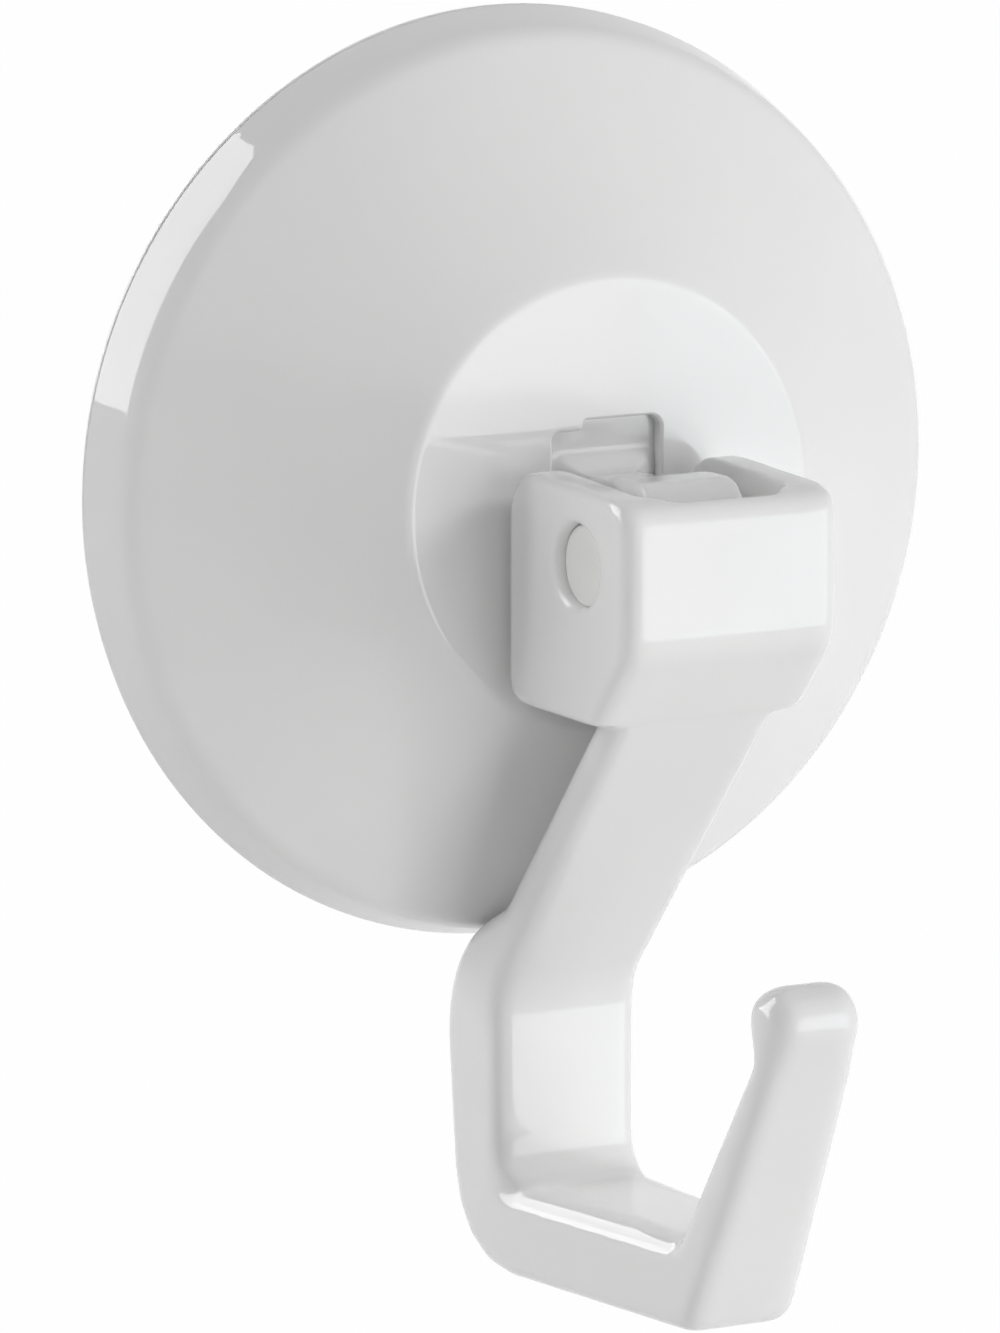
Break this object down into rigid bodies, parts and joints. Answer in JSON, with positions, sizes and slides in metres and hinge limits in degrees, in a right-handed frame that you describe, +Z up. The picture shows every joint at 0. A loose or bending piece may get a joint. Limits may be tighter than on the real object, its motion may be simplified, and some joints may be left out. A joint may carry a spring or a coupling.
{
  "type": "suction cup hook",
  "caption": "Wall hook on a soft suction cup under a round bell housing; a hinged cam lever locks the cup and carries an open hook with a beaded tip.",
  "frame": {"origin": "centre of the suction cup's lip, on the wall", "axes": "+Z up, +Y into the wall, so the hook stands out along -Y; +X to the right of someone who faces the wall"},
  "size_m": [0.06, 0.0406, 0.0803],
  "materials": {
    "white_plastic": "white moulded plastic, polished",
    "pin_plastic": "white moulded plastic, slightly duller",
    "cup_rubber": "soft white rubber, smooth"
  },
  "bodies": {
    "base": {"bell_housing": "white_plastic", "suction_cup": "cup_rubber", "pull_stem": "white_plastic"},
    "lever": {"hook_lever": "white_plastic", "pivot_pin": "pin_plastic"}
  },
  "joints": [
    {"name": "lever_hinge", "type": "hinge", "parent": "base", "child": "lever", "pos_m": [0, -0.0234, -0.002], "axis": [-1, 0, 0], "range_deg": [0, 90]}
  ]
}
